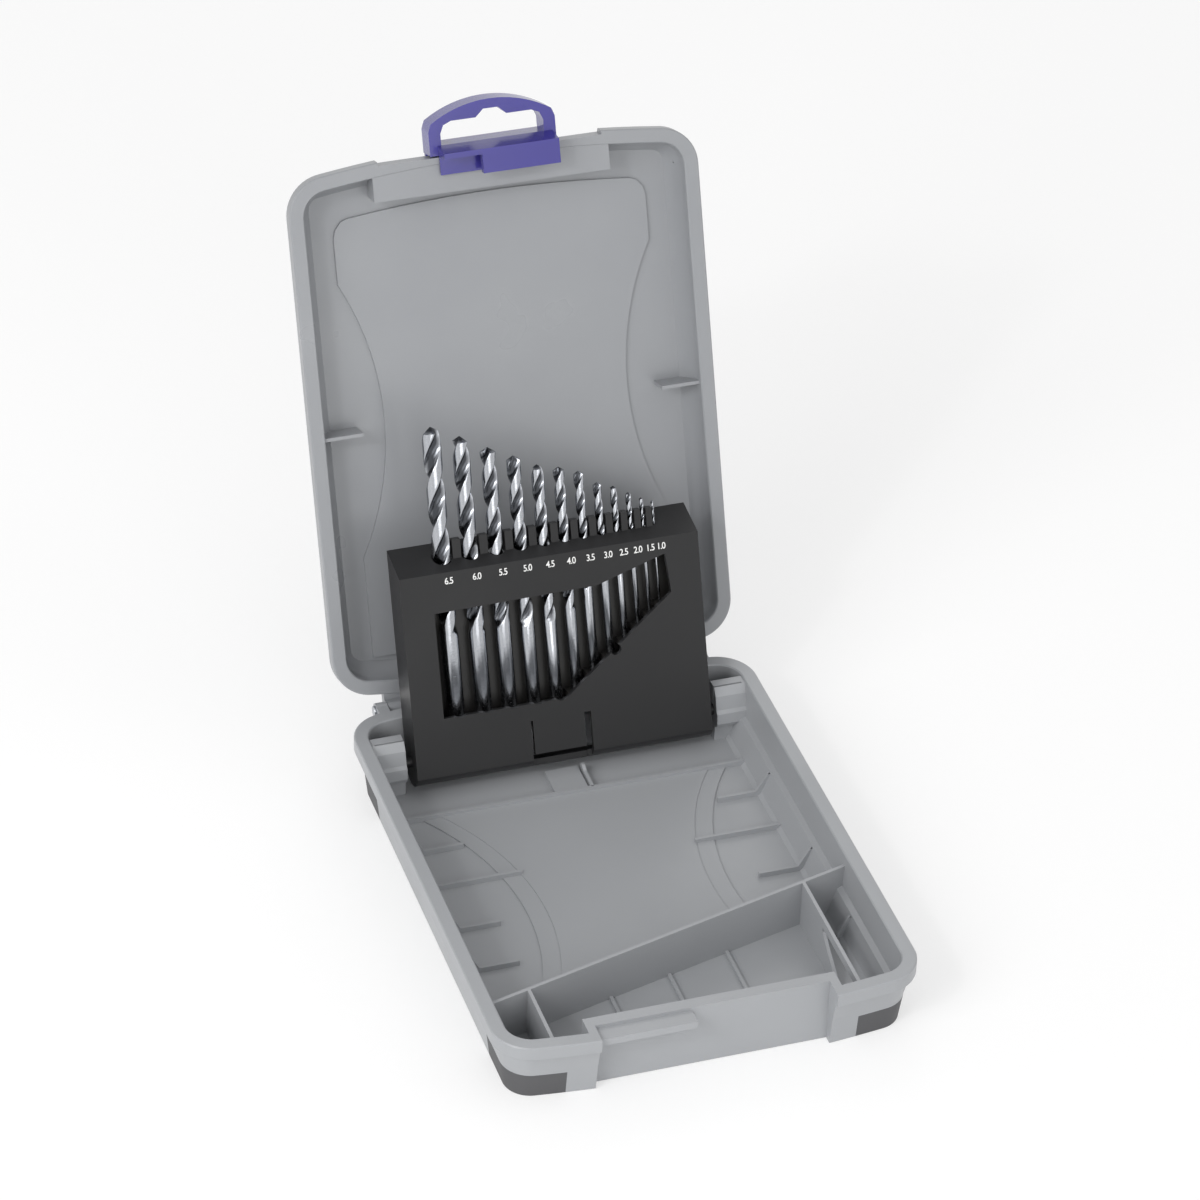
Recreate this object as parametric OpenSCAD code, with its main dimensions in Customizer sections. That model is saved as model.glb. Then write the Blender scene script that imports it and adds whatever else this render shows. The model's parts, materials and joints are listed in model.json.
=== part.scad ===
// Drill bit case: hinged tray and lid, sliding latch handle and a fold-down drill holder.
// Frame: +X to the right, +Y to the hinge side, +Z up. Origin on the floor under the tray's centre.
// The lid and the holder are drawn closed and flat in their own frames, and stand open at rest.

/* [Case] */
// Width of the case over its rims
case_w = 146; // [140:1:156]
// Length of the case over its bowed ends
case_l = 192; // [188:1:204]
// Plan radius of the four corners
corner_r = 14; // [12.5:0.5:18]
// Plan radius of the bowed front and rear edges
end_r = 480; // [300:10:900]
// Height of the tray rim above the floor
base_h = 24; // [23:0.5:30]
// Height of the lid above its own rim face
lid_h = 12.7; // [10.5:0.1:18]
// Gap between the two rims when closed
seam_gap = 0.3; // [0.2:0.1:0.6]
// Opening angle of the lid and lift angle of the holder
open_angle = 110; // [100:1:112]

/* [Walls] */
// Width of the flat face on each rim
rim_w = 4.7; // [4:0.1:5.5]
// Depth of each rim's outer band
rim_t = 4.8; // [3.5:0.1:6]
// Edge chamfer of the rims
rim_edge = 0.4; // [0.2:0.1:0.8]
// Step of the tray wall under its rim
skirt_in = 1.6; // [1:0.1:2.4]
// Inset of the tray wall half way down
waist_in = 3.4; // [2.8:0.1:3.8]
// Height of that half way point
waist_z = 11; // [8:0.5:14]
// Inset of the tray at its underside
foot_in = 4.8; // [4:0.1:6.5]
// Height of the inner ledge along the tray walls
ledge_z = 12; // [10:0.5:14]
// Width of the inner ledge
ledge_w = 2.1; // [1:0.1:3]
// Slope of the inner wall under the ledge
inner_slope = 3; // [1.5:0.1:4]
// Thickness of the tray floor
floor_t = 2.2; // [1.8:0.1:2.6]
// Thickness of the lid panel
panel_t = 1.8; // [1.4:0.1:2.4]
// Inset of the lid at its outer face
lid_in = 8; // [6:0.1:9]

/* [Feet] */
// Height of the corner feet
foot_h = 9.5; // [6:0.5:12]
// Wall of the corner feet
foot_t = 1.4; // [1:0.1:2]
// Run of each foot along the side of the tray
foot_run_y = 32; // [24:1:40]
// Run of each foot along the end of the tray
foot_run_x = 23; // [18:1:26]

/* [Tray interior] */
// Thickness of the dividers
divider_t = 1.2; // [1:0.1:1.8]
// Depth of the divider tops under the rim
divider_drop = 4; // [2:0.5:6]
// Distance from the front edge to the divider at its left end
divider_left = 34.3; // [30:0.1:40]
// Distance from the front edge to the divider at its right end
divider_right = 69; // [60:0.5:72]
// Place of the left cross divider
cross_left_x = -53.5; // [-56:0.5:-48]
// Place of the right cross divider
cross_right_x = 51.5; // [46:0.5:54]
// Length of the finger opening in the right cross divider
scoop_l = 29; // [24:0.5:30]
// Height of the low ribs above the tray floor
rib_h = 2; // [1:0.1:2.2]
// Distance from the rear edge to the full width rib
rear_rib = 39.2; // [36:0.1:42]
// Spacing of the low ribs in the front compartment
front_rib_pitch = 22.2; // [15:0.1:24]
// Spacing of the side ribs along the tray
side_rib_pitch = 21.5; // [18:0.1:23]
// Inner end of the two long side ribs
long_rib_x = 31; // [26:0.5:44]
// Inner ends of the short side ribs
short_rib_x = 46; // [42:0.5:52]
// Height of the hourglass relief above the floor
relief_h = 0.5; // [0.3:0.1:0.8]
// Half width of the hourglass relief at its waist
relief_waist = 35.5; // [30:0.5:45]
// Radius of the hourglass sides
relief_r = 100; // [85:1:140]

/* [Latch] */
// Left end of the latch recess in the tray
recess_left = -40; // [-44:0.5:-39]
// Right end of the latch recess in the tray
recess_right = 40.5; // [40:0.5:44]
// Depth of the latch recess from the front edge
recess_d = 9.6; // [9:0.1:10.5]
// Thickness of the wall behind the recess
recess_wall = 4.2; // [3:0.1:4.5]
// Right end of the catch ledge
catch_x = -7; // [-12:0.5:-6]
// Thickness of the catch ledge
catch_t = 2.6; // [2:0.1:3]
// Depth of the catch ledge's top under the rim
catch_drop = 1.2; // [1.1:0.1:2]
// Setback of the catch ledge from the front edge
catch_in = 3.6; // [3.2:0.1:4]
// Width of the latch handle
handle_w = 45; // [40:0.5:46]
// Place of the handle's centre at rest
handle_x = 0.4; // [0:0.1:0.8]
// Thickness of the handle's arch
handle_t = 8.6; // [7.8:0.1:9]
// Reach of the handle's arch past the front edge
handle_reach = 14.9; // [13.5:0.1:18]
// Radius of the arch's outer curve
arch_r = 40; // [36:0.5:60]
// Width of the arch's bow
arch_w = 5.9; // [5:0.1:6.5]
// Width of the arch's legs
leg_w = 4.2; // [3.5:0.1:6]
// Left end of the web and the cover, from the handle's centre
web_left = -19.6; // [-21:0.1:-18]
// Right end of the web and the cover
web_right = 21.2; // [18:0.1:22]
// Distance of the finger opening from the front edge
opening_out = 1.1; // [0.8:0.1:2.5]
// Half width of the hanging notch at its top
notch_w = 2.6; // [2:0.1:3]
// Depth of the hanging notch
notch_d = 2.6; // [2:0.1:3]
// Width of the hook, at the web's right end
hook_w = 27.4; // [20:0.1:27.4]
// Thickness of the hook under the ledge
hook_t = 2.8; // [2:0.1:3.4]
// Clearance round the hook and the slide
slide_gap = 0.6; // [0.4:0.1:0.8]
// Thickness of the tongue that runs in the lid's groove
tongue_t = 1.6; // [1.2:0.1:1.8]
// Depth of that tongue
tongue_d = 2; // [1.6:0.1:2.1]
// Height of the groove over the lid's rim face
groove_up = 5.7; // [5.2:0.1:6]
// Travel of the handle to either side
slide_travel = 14; // [10:0.5:14]

/* [Hinge] */
// Distance of the hinge axis behind the rear edge
hinge_out = 1.2; // [1:0.1:2]
// Depth of the hinge axis under the tray rim
hinge_drop = 3; // [2.9:0.1:4]
// Place of the two hinge knuckles to either side
hinge_x = 52; // [46:0.5:54]
// Width of a lid knuckle
knuckle_w = 8; // [6:0.5:10]
// Radius of a lid knuckle
knuckle_r = 2.7; // [2.4:0.1:2.9]
// Width of each ear on the tray
ear_w = 4; // [3:0.5:5]
// Radius of the ears on the tray
ear_r = 2.85; // [2.5:0.05:2.85]
// Side gap between knuckle and ears
knuckle_gap = 0.3; // [0.2:0.1:0.5]
// Diameter of the hinge pins
hinge_pin_d = 2.5; // [2:0.1:3]
// Radial running clearance in the knuckles
pin_clear = 0.06; // [0.03:0.01:0.1]
// Head diameter of the hinge pins
pin_head_d = 4; // [3.4:0.1:4.6]
// Head thickness of the hinge pins
pin_head_t = 0.8; // [0.5:0.1:1.2]

/* [Drill holder] */
// Width of the holder
holder_w = 107.4; // [102:0.2:108]
// Height of the holder's front plate
holder_h = 72.5; // [70:0.5:76]
// Depth of the holder's side flanges
holder_d = 14; // [13:0.1:14.6]
// Rise of the holder's shelf from front to back
shelf_rise = 6.9; // [4:0.1:8]
// Wall thickness of the holder
holder_t = 1.8; // [1.4:0.1:2.2]
// Distance of the pivot axis behind the front plate
pivot_o = 7.3; // [7:0.1:7.5]
// Height of the pivot axis above the plate's lower edge
pivot_u = 5; // [4:0.1:5.5]
// Distance of the pivot axis from the rear edge
pivot_back = 20.2; // [19:0.1:21]
// Depth of the pivot axis under the tray rim
pivot_drop = 10.5; // [10:0.1:11]
// Diameter of the pivot stubs
pivot_d = 4; // [3:0.1:5]
// Gap between the holder and each post
post_gap = 2.8; // [1.5:0.1:4]
// Depth of each pivot stub in its post
stub_in = 5; // [3:0.1:6]
// Width of the slit above each pivot hole
slit_w = 0.8; // [0.5:0.1:1.2]
// Radial running clearance of the pivot stubs
pivot_clear = 0.08; // [0.03:0.01:0.1]
// Left end of the window
window_left = -42.5; // [-45:0.5:-41]
// Right end of the window
window_right = 42.5; // [42:0.5:46]
// Left side of the spring clip at the foot of the front plate
clip_left = -11; // [-13:0.5:-8]
// Right side of the spring clip
clip_right = 8.5; // [7:0.5:12]
// Height of the slits beside the clip
clip_h = 14.5; // [12:0.5:18]
// Width of those slits
clip_slit = 0.8; // [0.5:0.1:1.4]
// Height of the notch under the clip
clip_notch = 2.2; // [1:0.1:3]
// Radius of the holder's round foot about its pivot
foot_r = 8.8; // [8:0.1:9]
// Height of the grip tabs between the drills
tab_h = 6; // [4:0.1:7]
// Depth of the grip tabs
tab_t = 2.8; // [2:0.1:4]
// Thickness of the seat steps under the drills
seat_t = 2; // [1.5:0.1:3]
// Thickness of the rack's rear web
rack_t = 1.6; // [1.2:0.1:1.8]
// Setback of that web from the rear of the holder
rack_in = 1.6; // [1:0.1:1.8]
// Fit of the rack in the holder
rack_gap = 0.15; // [0.1:0.01:0.2]

/* [Drills] */
// Diameter of the first drill
drill_d0 = 6.5; // [6:0.1:6.5]
// Step between drill diameters
drill_step = 0.5; // [0.4:0.05:0.5]
// Place of the first drill
drill_x0 = -36.3; // [-38:0.1:-35]
// Gap between the first two drills
drill_gap0 = 3.75; // [3.4:0.05:3.9]
// Decrease of that gap from drill to drill
drill_gap_drop = 0.11; // [0.08:0.01:0.13]
// Distance of the drills behind the front plate
drill_o = 7; // [6.5:0.1:7.5]
// Height of the first drills' seat above the plate's lower edge
seat_u = 17.9; // [17:0.1:20]
// Height of the last drill's seat
seat_end_u = 47.6; // [44:0.1:50]
// Height of the window's sill above the seats
sill = 2.8; // [2:0.1:3.4]
// Gap round each drill in the shelf
drill_clear = 0.3; // [0.2:0.05:0.5]
// Size of the label squares
label_w = 3; // [2:0.1:3.2]

/* [Hidden] */
$fn = 64;
// Fine step for the long shallow arcs
arc_fn = 360;
// Overlap of joined solids
eps = 0.01;
bite = 0.2;
// How far the cuts run past the solids
through = 5;
// Wall of the recess returns
return_t = 3;
// How far the side fins stand off the wall
fin_out = 2;

// Plan of the rims: straight sides, round corners and ends bowed to end_r
corner_x = case_w / 2 - corner_r;
bow = asin(corner_x / (end_r - corner_r));
corner_y = case_l / 2 - end_r + (end_r - corner_r) * cos(bow);
end_y = case_l / 2 - end_r;
front_y = -case_l / 2;
rear_y = case_l / 2;
floor_z = floor_t;
lid_z = base_h + seam_gap;
lid_top = lid_z + lid_h;
panel_z = lid_top - panel_t;

// Hinge and pivot axes
hinge_y = rear_y + hinge_out;
hinge_z = base_h - hinge_drop;
pivot_y = rear_y - pivot_back;
pivot_z = base_h - pivot_drop;

// Wall outlines as [inset, height] points, from the bottom up
base_outer = [[foot_in, 0], [waist_in, waist_z], [skirt_in, base_h - rim_t - skirt_in / 2],
    [0, base_h - rim_t], [0, base_h - rim_edge], [rim_edge, base_h]];
ledge_in = rim_w + 1.2;
inner_foot = ledge_in + ledge_w + inner_slope;
fillet = 1.4;
base_inner = [[inner_foot + fillet, floor_z], [inner_foot, floor_z + fillet],
    [ledge_in + ledge_w, ledge_z - 0.6], [ledge_in, ledge_z],
    [rim_w + rim_edge, base_h - rim_edge], [rim_w - rim_edge, base_h + rim_edge]];
lid_outer = [[rim_edge, lid_z], [0, lid_z + rim_edge], [0, lid_z + rim_t - 0.3], [1.4, lid_z + rim_t + 0.7],
    [3.6, lid_top - 3.8], [5.4, lid_top - 1.2], [lid_in, lid_top]];
lid_inner = [[rim_w - rim_edge, lid_z - rim_edge], [rim_w + rim_edge, lid_z + rim_edge],
    [rim_w + 0.9, lid_z + rim_t], [rim_w + 3, panel_z - 2.2], [lid_in + fillet, panel_z]];

// Drill sizes, overall lengths and plain shank lengths
drill_l = [104.4, 99.6, 94.2, 89.8, 85.4, 80.4, 72.1, 61.8, 54.9, 47.6, 41.3, 36.4];
shank_l = [30, 30, 30, 29, 29, 29, 30, 30, 29, 27, 24, 23];
drill_count = len(drill_l);
function drill_d(i) = drill_d0 - i * drill_step;
function drill_gap(i) = drill_gap0 - drill_gap_drop * (i - 1);
function drill_x(i) = i == 0 ? drill_x0 : drill_x(i - 1) + (drill_d(i - 1) + drill_d(i)) / 2 + drill_gap(i);
// The seat is level for the first drills and then climbs to the last one
seat_bend = drill_x(5) - 3.6;
function seat(x) = x < seat_bend ? seat_u
    : seat_u + (seat_end_u - seat_u) * (x - seat_bend) / (drill_x(drill_count - 1) - seat_bend);

// Point past b, on the line from a
function past(a, b, over) = b + (b - a) * over / abs(b[1] - a[1]);
// Half of a wall outline at a distance from the middle, drawn on past both of its ends
function half_wall(profile, r, over) = let(count = len(profile),
    drawn = [for (i = [0:count - 1])
        i == 0 ? past(profile[1], profile[0], over)
        : i == count - 1 ? past(profile[count - 2], profile[count - 1], over)
        : profile[i]])
    [for (p = drawn) [r - p[0], p[1]]];

// Solid whose sides follow a wall outline all round the plan of the case
side_lap = 0.4;
end_run = 40;
side_over = 0.3;
corner_over = 0.6;
end_over = 0.9;
module filled(profile) {
    low = profile[0][1];
    top = profile[len(profile) - 1][1];
    reach = corner_r * 2;
    side = half_wall(profile, case_w / 2, side_over);
    corner = half_wall(profile, corner_r, corner_over);
    end_wall = half_wall(profile, end_r, end_over);
    intersection() {
        translate([-case_w, -case_l, low])
            cube([2 * case_w, 2 * case_l, top - low]);
        union() {
            rotate([90, 0, 0])
                linear_extrude(2 * (corner_y - side_lap), center = true)
                    polygon(concat(side, [for (i = [len(side) - 1:-1:0]) [-side[i][0], side[i][1]]]));
            for (end = [0, 1])
                mirror([0, end, 0]) {
                    for (x = [-corner_x, corner_x])
                        translate([x, corner_y, 0])
                            rotate_extrude()
                                polygon(concat(corner, [[0, top + corner_over], [0, low - corner_over]]));
                    intersection() {
                        translate([0, end_y, 0])
                            rotate([0, 0, 90 - 2 * bow])
                                rotate_extrude(angle = 4 * bow, $fn = arc_fn)
                                    polygon(concat(end_wall, [[end_r - end_run, top + end_over],
                                        [end_r - end_run, low - end_over]]));
                        translate([0, corner_y, low - 1])
                            linear_extrude(top - low + 2)
                                polygon([[corner_x, -end_run / 2], [corner_x, 0],
                                    [corner_x + reach * sin(bow / 2), reach * cos(bow / 2)],
                                    [-corner_x - reach * sin(bow / 2), reach * cos(bow / 2)],
                                    [-corner_x, 0], [-corner_x, -end_run / 2]]);
                    }
                }
        }
    }
}

// Box between two corners
module span(a, b) {
    translate(a)
        cube(b - a);
}

// Outline in the YZ plane, extruded from x0 to x1
module side_prism(x0, x1, points) {
    translate([x0, 0, 0])
        rotate([90, 0, 90])
            linear_extrude(x1 - x0)
                polygon(points);
}

// Round bar along X
module bar(x0, x1, y, z, r) {
    translate([x0, y, z])
        rotate([0, 90, 0])
            cylinder(r = r, h = x1 - x0);
}

// Hourglass outline shared by the tray floor and the lid panel
module hourglass(waist, top_y, bottom_y, half_w, r) {
    difference() {
        translate([-half_w, bottom_y])
            square([2 * half_w, top_y - bottom_y]);
        for (side = [-1, 1])
            translate([side * (waist + r), -3])
                circle(r, $fn = arc_fn);
    }
}

inner_x = case_w / 2 - inner_foot;
divider_slope = atan2(divider_right - divider_left, case_w - 14);
function divider_y(x) = front_y + divider_left + (x + case_w / 2 - 7) * tan(divider_slope);

scoop_y = front_y + recess_d + recess_wall + 1.2;
scoop_rim = 3.2;
module dividers() {
    top = base_h - divider_drop;
    translate([0, divider_y(0), floor_z - 0.2])
        rotate([0, 0, divider_slope])
            translate([-case_w / 2, -divider_t / 2, 0])
                cube([case_w, divider_t, top - floor_z + 0.2]);
    difference() {
        for (x = [cross_left_x, cross_right_x])
            span([x - divider_t / 2, front_y + 3, floor_z - 0.2],
                [x + divider_t / 2, divider_y(x), top]);
        side_prism(cross_right_x - divider_t, cross_right_x + divider_t,
            [[scoop_y, 6], [scoop_y, top - scoop_rim], [scoop_y + scoop_l, top - scoop_rim],
            [scoop_y + scoop_l, 15], [scoop_y + 0.84 * scoop_l, 11.2],
            [scoop_y + 0.5 * scoop_l, 5], [scoop_y + 0.12 * scoop_l, 4]]);
    }
}

// Fin up the sloped side wall, from the floor to the ledge
ledge_x = case_w / 2 - ledge_in - ledge_w;
pocket_fin_y = front_y + 53;
module fin(y) {
    translate([0, y + divider_t, 0])
        rotate([90, 0, 0])
            linear_extrude(divider_t)
                polygon([[inner_x - fin_out, floor_z - bite], [inner_x - fin_out, floor_z + rib_h],
                    [ledge_x - fin_out / 2, ledge_z - 1], [case_w / 2 - rim_w, ledge_z - 1],
                    [case_w / 2 - rim_w, floor_z - bite]]);
}

module low_ribs() {
    top = floor_z + rib_h;
    rib_y = rear_y - rear_rib;
    span([-case_w / 2 + 8, rib_y - divider_t / 2, floor_z - 0.2],
        [case_w / 2 - 8, rib_y + divider_t / 2, top]);
    for (side = [0, 1])
        mirror([side, 0, 0])
            for (i = [1:4])
                if (i != 2)
                    span([short_rib_x, rib_y - i * side_rib_pitch + 3, floor_z - 0.2],
                        [case_w / 2 - 8, rib_y - i * side_rib_pitch + 3 + divider_t, top]);
                else
                    span([long_rib_x, rib_y - i * side_rib_pitch + 5, floor_z - 0.2],
                        [case_w / 2 - 8, rib_y - i * side_rib_pitch + 5 + divider_t, top]);
    for (side = [0, 1])
        mirror([side, 0, 0])
            for (i = [1, 3, 4])
                fin(rib_y - i * side_rib_pitch + 3);
    fin(pocket_fin_y);
    for (i = [-1:1])
        span([i * front_rib_pitch - divider_t / 2, front_y + recess_d + 1, floor_z - 0.2],
            [i * front_rib_pitch + divider_t / 2, divider_y(i * front_rib_pitch), floor_z + 1]);
}

// Heights of the catch ledge, and of the hook and the cover that pass it
ledge_top = base_h - catch_drop;
ledge_low = ledge_top - catch_t;
hook_low = ledge_low - slide_gap - hook_t;
cover_low = ledge_top + seam_gap;

// Wall behind the latch recess, with a return at each end
module recess_walls() {
    wall_y = front_y + recess_d;
    back = wall_y + recess_wall;
    span([recess_left - return_t, wall_y - bite, 0], [recess_right + return_t, back, base_h]);
    for (x = [recess_left - return_t, recess_right])
        span([x, front_y, 0], [x + return_t, back, base_h]);
    span([recess_left - bite, front_y + catch_in, ledge_low], [catch_x, wall_y + bite, ledge_top]);
}

module recess_cut() {
    wall_y = front_y + recess_d;
    span([recess_left, front_y - through, -through], [recess_right, wall_y, ledge_low]);
    span([recess_left, front_y - through, -through], [recess_right, front_y + catch_in, base_h + through]);
    span([catch_x, front_y - through, -through], [recess_right, wall_y, base_h + through]);
    span([recess_left, front_y - through, ledge_top], [recess_right, wall_y, base_h + through]);
}

// Post that carries one pivot stub of the holder
post_x = holder_w / 2 + post_gap;
post_back = pivot_y + 3.6;
module post() {
    top = base_h - 0.8;
    side_prism(post_x, case_w / 2 - rim_w + 0.8, [[post_back, floor_z - 0.2], [post_back, top],
        [pivot_y - slit_w / 2, top],
        [pivot_y - 2.6, top - 2.8], [pivot_y - 4, pivot_z + 2], [pivot_y - 5.2, pivot_z + 1],
        [pivot_y - 5.6, pivot_z - 3], [pivot_y - 4.6, pivot_z - 4.9], [pivot_y - 3.2, pivot_z - 5.2],
        [pivot_y - 3.2, floor_z - 0.2]]);
}

module post_cuts() {
    bar(post_x - 1, post_x + stub_in + 0.6, pivot_y, pivot_z, pivot_d / 2 + pivot_clear);
    span([post_x - 1, pivot_y - slit_w / 2, pivot_z],
        [case_w / 2 - rim_w - 1.5, pivot_y + slit_w / 2, base_h + 1]);
}

// Tongue and hooked fin under the raised holder
tongue_l = 13;
fin_l = 11.5;
module holder_catch() {
    rib_y = rear_y - rear_rib;
    rib_top = floor_z + rib_h;
    span([-7, rib_y, floor_z - bite], [5, rib_y + tongue_l, rib_top - 0.3]);
    side_prism(5.6, 5.6 + divider_t, [[rib_y, floor_z - bite], [rib_y, rib_top + 0.4],
        [rib_y + 0.7 * fin_l, rib_top + 0.8], [rib_y + 0.9 * fin_l, rib_top + 1.8],
        [rib_y + fin_l, rib_top + 1.8], [rib_y + fin_l, floor_z - bite]]);
}

module ears() {
    for (side = [0, 1])
        mirror([side, 0, 0])
            for (x = [hinge_x - knuckle_w / 2 - knuckle_gap - ear_w, hinge_x + knuckle_w / 2 + knuckle_gap]) {
                bar(x, x + ear_w, hinge_y, hinge_z, ear_r);
                span([x, rear_y - 6.5, hinge_z - ear_r + bite], [x + ear_w, hinge_y, hinge_z + ear_r - bite]);
            }
}

module ear_bores() {
    for (side = [0, 1])
        mirror([side, 0, 0])
            bar(hinge_x - 20, hinge_x + 20, hinge_y, hinge_z, hinge_pin_d / 2);
}

// A corner foot follows the tray wall
foot_lean = (foot_in - waist_in) / waist_z;
module foot_shell(grow) {
    difference() {
        filled([[foot_in - grow + foot_lean, -1], [foot_in - grow - foot_lean * foot_h, foot_h]]);
        filled([[foot_in + foot_t + 2 * foot_lean, -2],
            [foot_in + foot_t - foot_lean * (foot_h + 1), foot_h + 1]]);
    }
}

module foot_zone(low) {
    span([case_w / 2 - foot_run_x, rear_y - foot_run_y, low], [case_w / 2 + 2, rear_y + 2, foot_h + 2]);
}

module corner_foot(left, front, grow) {
    mirror([left, 0, 0])
        mirror([0, front, 0])
            intersection() {
                foot_shell(grow);
                foot_zone(-grow);
            }
}

// Second step of the floor relief: how far inside the first, and how much higher
relief_band = 6.5;
relief_step = 0.3;

// What stands in the tray's hollow
module tray_fittings() {
    recess_walls();
    dividers();
    low_ribs();
    holder_catch();
    for (side = [0, 1])
        mirror([side, 0, 0])
            post();
    for (step = [0, 1])
        translate([0, 0, floor_z - bite])
            linear_extrude(relief_h + step * relief_step + bite)
                intersection() {
                    hourglass(relief_waist - step * relief_band, rear_y - rear_rib, front_y + divider_left,
                        inner_x - 3 - step * relief_band, relief_r);
                    polygon([[-case_w, divider_y(-case_w)], [case_w, divider_y(case_w)],
                        [case_w, rear_y], [-case_w, rear_y]]);
                }
}

module base_tray() {
    color("#96989b")
        difference() {
            union() {
                filled(base_outer);
                ears();
            }
            difference() {
                filled(base_inner);
                tray_fittings();
            }
            recess_cut();
            ear_bores();
            for (side = [0, 1])
                mirror([side, 0, 0])
                    post_cuts();
            for (left = [0, 1], front = [0, 1])
                corner_foot(left, front, 1);
        }
}

module foot_front_left() {
    color("#5c5d5f")
        corner_foot(1, 1, 0);
}

module foot_front_right() {
    color("#5c5d5f")
        corner_foot(0, 1, 0);
}

module foot_rear_left() {
    color("#5c5d5f")
        corner_foot(1, 0, 0);
}

module foot_rear_right() {
    color("#5c5d5f")
        corner_foot(0, 0, 0);
}

// Headed steel pin through two ears and a knuckle
module hinge_pin() {
    inner = hinge_x - knuckle_w / 2 - knuckle_gap - ear_w;
    outer = hinge_x + knuckle_w / 2 + knuckle_gap + ear_w;
    bar(inner, outer + 0.1, hinge_y, hinge_z, hinge_pin_d / 2);
    bar(outer, outer + pin_head_t, hinge_y, hinge_z, pin_head_d / 2);
}

module hinge_pin_left() {
    color("#c9ccd0")
        mirror([1, 0, 0])
            hinge_pin();
}

module hinge_pin_right() {
    color("#c9ccd0")
        hinge_pin();
}

// Carries the lid and the latch from closed to open
module opened() {
    translate([0, hinge_y, hinge_z])
        rotate([-open_angle, 0, 0])
            translate([0, -hinge_y, -hinge_z])
                children();
}

// Slide of the latch in the lid: run, web face and groove
web_y = front_y + catch_in - 2 * slide_gap;
slot_y = web_y + slide_gap;
slot_left = handle_x - handle_w / 2 - slide_travel - 4.6;
slot_right = handle_x + handle_w / 2 + slide_travel + 2.1;
groove_z = lid_z + groove_up;
tongue_z = groove_z + seam_gap;
handle_top = lid_z + handle_t;

// Raised hourglass field, side ribs and the platform behind the latch's slot, inside the lid
platform_d = 15.5;
platform_out = 2.2;
platform_slope = 0.6;
field_drop = 0.9;
field_in = 19;
field_waist = 44;
field_half = 56;
field_r = 105;
field_foot = 14;
field_y = front_y + field_in + field_half * field_half / 2 / end_r;
field_round = 6;
half_field = [[field_half, rear_y], [field_half, field_y + field_round],
    [field_half - 0.13 * field_round, field_y + 0.5 * field_round],
    [field_half - 0.5 * field_round, field_y + 0.06 * field_round], [field_half - field_round, field_y - 0.8],
    [0, field_y - 2 * field_round]];
module lid_fittings() {
    translate([0, 0, panel_z - field_drop])
        linear_extrude(field_drop + 1)
            intersection() {
                hourglass(field_waist, rear_y - field_foot, front_y, field_half, field_r);
                translate([0, end_r - rear_y])
                    circle(end_r - field_in, $fn = arc_fn);
                polygon(concat(half_field, [for (i = [len(half_field) - 1:-1:0])
                    [-half_field[i][0], half_field[i][1]]]));
            }
    for (side = [0, 1])
        mirror([side, 0, 0])
            span([case_w / 2 - 19, -1, lid_z + 1.5], [case_w / 2, 0.2, panel_z + 1]);
    translate([0, front_y + platform_d, 0])
        rotate([90, 0, 0])
            linear_extrude(platform_d - slide_gap)
                polygon([[slot_left - platform_out, lid_z + seam_gap],
                    [slot_right + platform_out, lid_z + seam_gap],
                    [slot_right + platform_out - platform_slope, panel_z + 1],
                    [slot_left - platform_out + platform_slope, panel_z + 1]]);
}

module knuckle() {
    x0 = hinge_x - knuckle_w / 2;
    x1 = hinge_x + knuckle_w / 2;
    arm_top = lid_z + 3.2;
    bar(x0, x1, hinge_y, hinge_z, knuckle_r);
    span([x0, hinge_y - knuckle_r + bite, hinge_z], [x1, hinge_y + knuckle_r - bite, arm_top]);
    span([x0, rear_y - 4, lid_z + 0.3], [x1, hinge_y, arm_top]);
}

module lid() {
    color("#a3a5a8", 0.85)
        opened()
            difference() {
                union() {
                    difference() {
                        filled(lid_outer);
                        difference() {
                            filled(lid_inner);
                            lid_fittings();
                        }
                    }
                    for (side = [0, 1])
                        mirror([side, 0, 0])
                            knuckle();
                }
                span([slot_left, front_y - through, lid_z - 1], [slot_right, slot_y, handle_top + slide_gap]);
                span([slot_left, front_y - through, groove_z],
                    [slot_right, web_y + tongue_d + seam_gap, tongue_z + tongue_t + seam_gap]);
                for (side = [0, 1])
                    mirror([side, 0, 0])
                        bar(hinge_x - 20, hinge_x + 20, hinge_y, hinge_z, hinge_pin_d / 2 + pin_clear);
            }
}

// Flat outline of the arch: bowed top, blunt shoulders, open middle and hanging notch
shoulder_out = 1;
shoulder_down = 15.9;
corner_out = 1.2;
corner_cut = 4;
module arch_outline() {
    top_y = front_y - handle_reach;
    opening_y = front_y - opening_out;
    bow_y = top_y + arch_w;
    half = handle_w / 2 - leg_w;
    foot = 2.1 * notch_w;
    difference() {
        intersection() {
            translate([0, top_y + arch_r])
                circle(arch_r, $fn = arc_fn);
            translate([0, top_y + shoulder_down])
                circle(handle_w / 2 + shoulder_out, $fn = arc_fn);
            translate([-handle_w / 2, top_y])
                square([handle_w, web_y - top_y]);
        }
        polygon([[-half, opening_y], [-half, bow_y + corner_cut], [-half + corner_out, bow_y + corner_out],
            [-half + corner_cut, bow_y], [-foot, bow_y],
            [-notch_w, bow_y - notch_d], [notch_w, bow_y - notch_d],
            [foot, bow_y], [half - corner_cut, bow_y], [half - corner_out, bow_y + corner_out],
            [half, bow_y + corner_cut], [half, opening_y]]);
    }
}

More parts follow.
